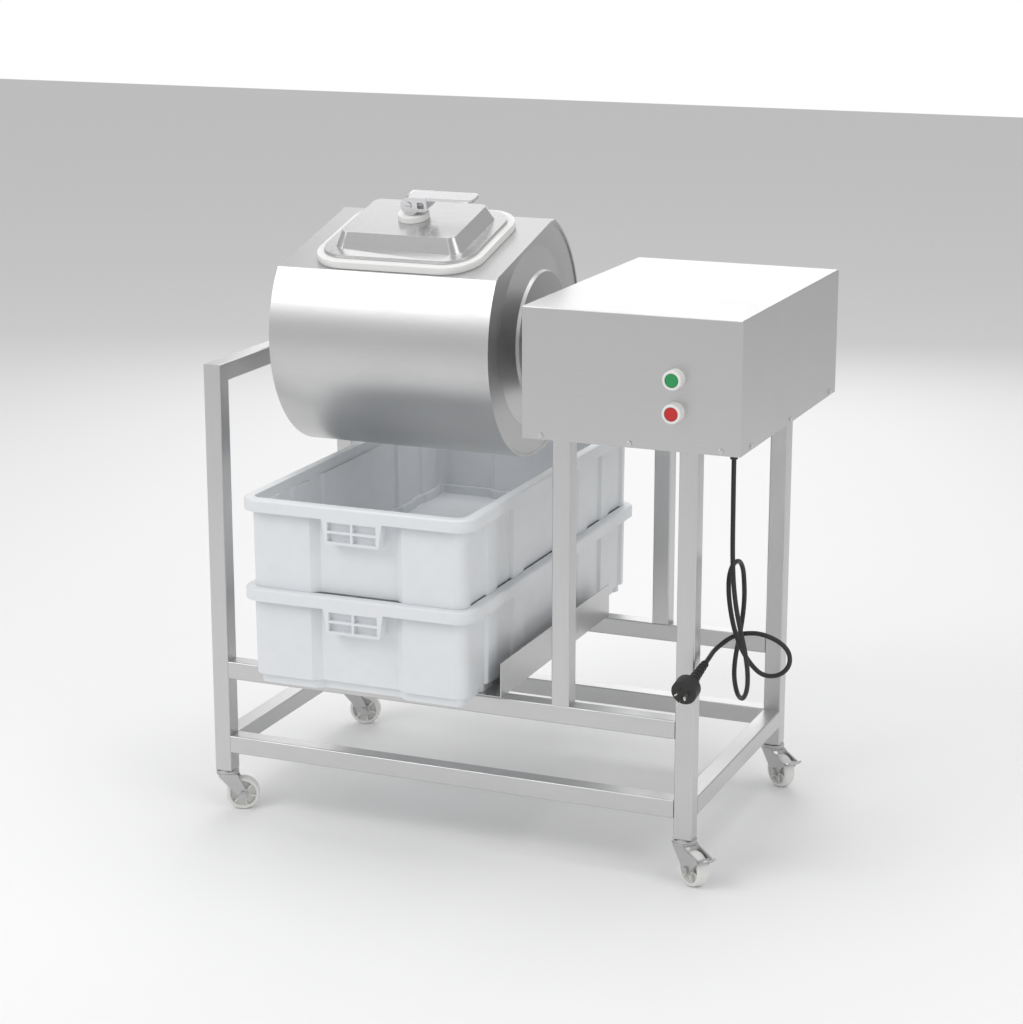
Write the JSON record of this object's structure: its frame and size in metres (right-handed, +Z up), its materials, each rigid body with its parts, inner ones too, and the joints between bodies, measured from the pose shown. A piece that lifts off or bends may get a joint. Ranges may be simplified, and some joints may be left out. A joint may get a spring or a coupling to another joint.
{
  "type": "meat vacuum tumbler",
  "caption": "Stainless drum tumbler on a square-tube stand with a drive box, clamped hatch, two totes below and swivel casters.",
  "frame": {"origin": "centre of the bottom of the bounding box, on the floor, with the mains cord and plug left out", "axes": "+Z up, +X along the drum's shaft towards the drive box, -Y to the front, where the hatch leans and the buttons are"},
  "size_m": [0.971, 0.76, 1.0341],
  "materials": {
    "stainless": "satin brushed stainless steel",
    "drum_steel": "brushed stainless sheet",
    "lid_steel": "pressed, bright satin",
    "bright_steel": "polished",
    "zinc": "zinc plated",
    "nickel": "nickel plated",
    "cast": "painted casting",
    "motor_paint": "semi gloss paint",
    "brass": "turned",
    "grey_plastic": "moulded",
    "white_plastic": "moulded",
    "green_plastic": "moulded",
    "red_plastic": "moulded",
    "black_plastic": "moulded",
    "black_rubber": "satin",
    "white_silicone": "matte",
    "white_nylon": "satin moulded",
    "bin_plastic": "satin moulded"
  },
  "bodies": {
    "stand": {"left_front_post": "stainless", "left_rear_post": "stainless", "left_top_bar": "stainless", "right_front_post": "stainless", "right_rear_post": "stainless", "inner_front_leg": "stainless", "inner_rear_leg": "stainless", "front_middle_rail": "stainless", "rear_middle_rail": "stainless", "front_lower_rail": "stainless", "rear_lower_rail": "stainless", "left_lower_rail": "stainless", "right_lower_rail": "stainless", "left_bin_guide": "stainless", "right_bin_guide": "stainless", "caster_mounts": "zinc", "drive_subframe": "stainless", "drive_base": "stainless", "left_bearing": "cast", "right_bearing": "cast", "gear_reducer": "cast", "drive_motor": "motor_paint", "vacuum_pump": "cast", "vacuum_hose": "black_rubber", "rotary_union": "brass", "contactor": "grey_plastic", "drive_cover": "stainless", "cover_screws": "bright_steel", "start_button_body": "white_plastic", "stop_button_body": "white_plastic", "cord_gland": "black_plastic", "mains_cord": "black_rubber", "plug_body": "black_plastic", "plug_blades": "nickel"},
    "drum": {"drum_shell": "drum_steel", "left_drum_end": "drum_steel", "right_drum_end": "drum_steel", "left_shaft": "bright_steel", "right_shaft": "bright_steel", "hatch_neck": "drum_steel", "hatch_gasket": "white_silicone", "mixing_paddles": "drum_steel"},
    "lid": {"hatch_lid": "lid_steel"},
    "collar": {"clamp_collar": "white_plastic"},
    "stud": {"clamp_stud": "bright_steel"},
    "lever": {"clamp_lever": "bright_steel"},
    "lower_tote": {"lower_bin": "bin_plastic"},
    "upper_tote": {"upper_bin": "bin_plastic"},
    "start_cap": {"start_button_cap": "green_plastic"},
    "stop_cap": {"stop_button_cap": "red_plastic"},
    "front_left_fork": {"front_left_caster_fork": "zinc"},
    "front_left_wheel": {"front_left_caster_wheel": "white_nylon"},
    "front_right_fork": {"front_right_caster_fork": "zinc"},
    "front_right_wheel": {"front_right_caster_wheel": "white_nylon"},
    "front_right_brake": {"front_right_brake_pedal": "zinc"},
    "rear_left_fork": {"rear_left_caster_fork": "zinc"},
    "rear_left_wheel": {"rear_left_caster_wheel": "white_nylon"},
    "rear_right_fork": {"rear_right_caster_fork": "zinc"},
    "rear_right_wheel": {"rear_right_caster_wheel": "white_nylon"},
    "rear_right_brake": {"rear_right_brake_pedal": "zinc"}
  },
  "joints": [
    {"name": "drum_spin", "type": "hinge", "parent": "stand", "child": "drum", "pos_m": [-0.16808, -0.031, 0.8005], "axis": [1, 0, 0], "continuous": true},
    {"name": "lid_lift", "type": "slide", "parent": "drum", "child": "lid", "axis": [0, -0.2588, 0.9659], "range_m": [0, 0.1]},
    {"name": "clamp_turn", "type": "hinge", "parent": "lid", "child": "collar", "pos_m": [-0.16808, -0.08276, 0.99369], "axis": [0, -0.2588, 0.9659], "range_deg": [0, 90]},
    {"name": "stud_drop", "type": "slide", "parent": "collar", "child": "stud", "axis": [0, 0.2588, -0.9659], "range_m": [0, 0.0036]},
    {"name": "lever_flip", "type": "hinge", "parent": "stud", "child": "lever", "pos_m": [-0.16808, -0.08886, 1.01645], "axis": [0, -0.9659, -0.2588], "range_deg": [0, 90]},
    {"name": "front_left_swivel", "type": "hinge", "parent": "stand", "child": "front_left_fork", "pos_m": [-0.43658, -0.2685, 0.064], "axis": [0, 0, 1], "continuous": true},
    {"name": "front_left_roll", "type": "hinge", "parent": "front_left_fork", "child": "front_left_wheel", "pos_m": [-0.41451, -0.25676, 0.028], "axis": [-0.4695, 0.8829, 0], "continuous": true},
    {"name": "front_right_swivel", "type": "hinge", "parent": "stand", "child": "front_right_fork", "pos_m": [0.37342, -0.2685, 0.064], "axis": [0, 0, 1], "continuous": true},
    {"name": "front_right_roll", "type": "hinge", "parent": "front_right_fork", "child": "front_right_wheel", "pos_m": [0.39365, -0.28319, 0.028], "axis": [0.5878, 0.809, 0], "continuous": true},
    {"name": "front_right_brake_press", "type": "hinge", "parent": "front_right_fork", "child": "front_right_brake", "pos_m": [0.41306, -0.2973, 0.049], "axis": [0.5878, 0.809, 0], "range_deg": [0, 20]},
    {"name": "rear_left_swivel", "type": "hinge", "parent": "stand", "child": "rear_left_fork", "pos_m": [-0.43658, 0.2065, 0.064], "axis": [0, 0, 1], "continuous": true},
    {"name": "rear_left_roll", "type": "hinge", "parent": "rear_left_fork", "child": "rear_left_wheel", "pos_m": [-0.41243, 0.21297, 0.028], "axis": [-0.2588, 0.9659, 0], "continuous": true},
    {"name": "rear_right_swivel", "type": "hinge", "parent": "stand", "child": "rear_right_fork", "pos_m": [0.37342, 0.2065, 0.064], "axis": [0, 0, 1], "continuous": true},
    {"name": "rear_right_roll", "type": "hinge", "parent": "rear_right_fork", "child": "rear_right_wheel", "pos_m": [0.39312, 0.19111, 0.028], "axis": [0.6157, 0.788, 0], "continuous": true},
    {"name": "rear_right_brake_press", "type": "hinge", "parent": "rear_right_fork", "child": "rear_right_brake", "pos_m": [0.41203, 0.17633, 0.049], "axis": [0.6157, 0.788, 0], "range_deg": [0, 20]},
    {"name": "lower_tote_slide", "type": "slide", "parent": "stand", "child": "lower_tote", "axis": [0, -1, 0], "range_m": [0, 0.56]},
    {"name": "upper_tote_lift", "type": "slide", "parent": "lower_tote", "child": "upper_tote", "axis": [0, 0, 1], "range_m": [0, 0.024]},
    {"name": "start_press", "type": "slide", "parent": "stand", "child": "start_cap", "axis": [0, 1, 0], "range_m": [0, 0.003], "stiffness_N_per_m": 300},
    {"name": "stop_press", "type": "slide", "parent": "stand", "child": "stop_cap", "axis": [0, 1, 0], "range_m": [0, 0.003], "stiffness_N_per_m": 300}
  ],
  "couplings": [
    {"joint": "stud_drop", "follows": "lever_flip", "m_per_rad": 0.0022508}
  ]
}
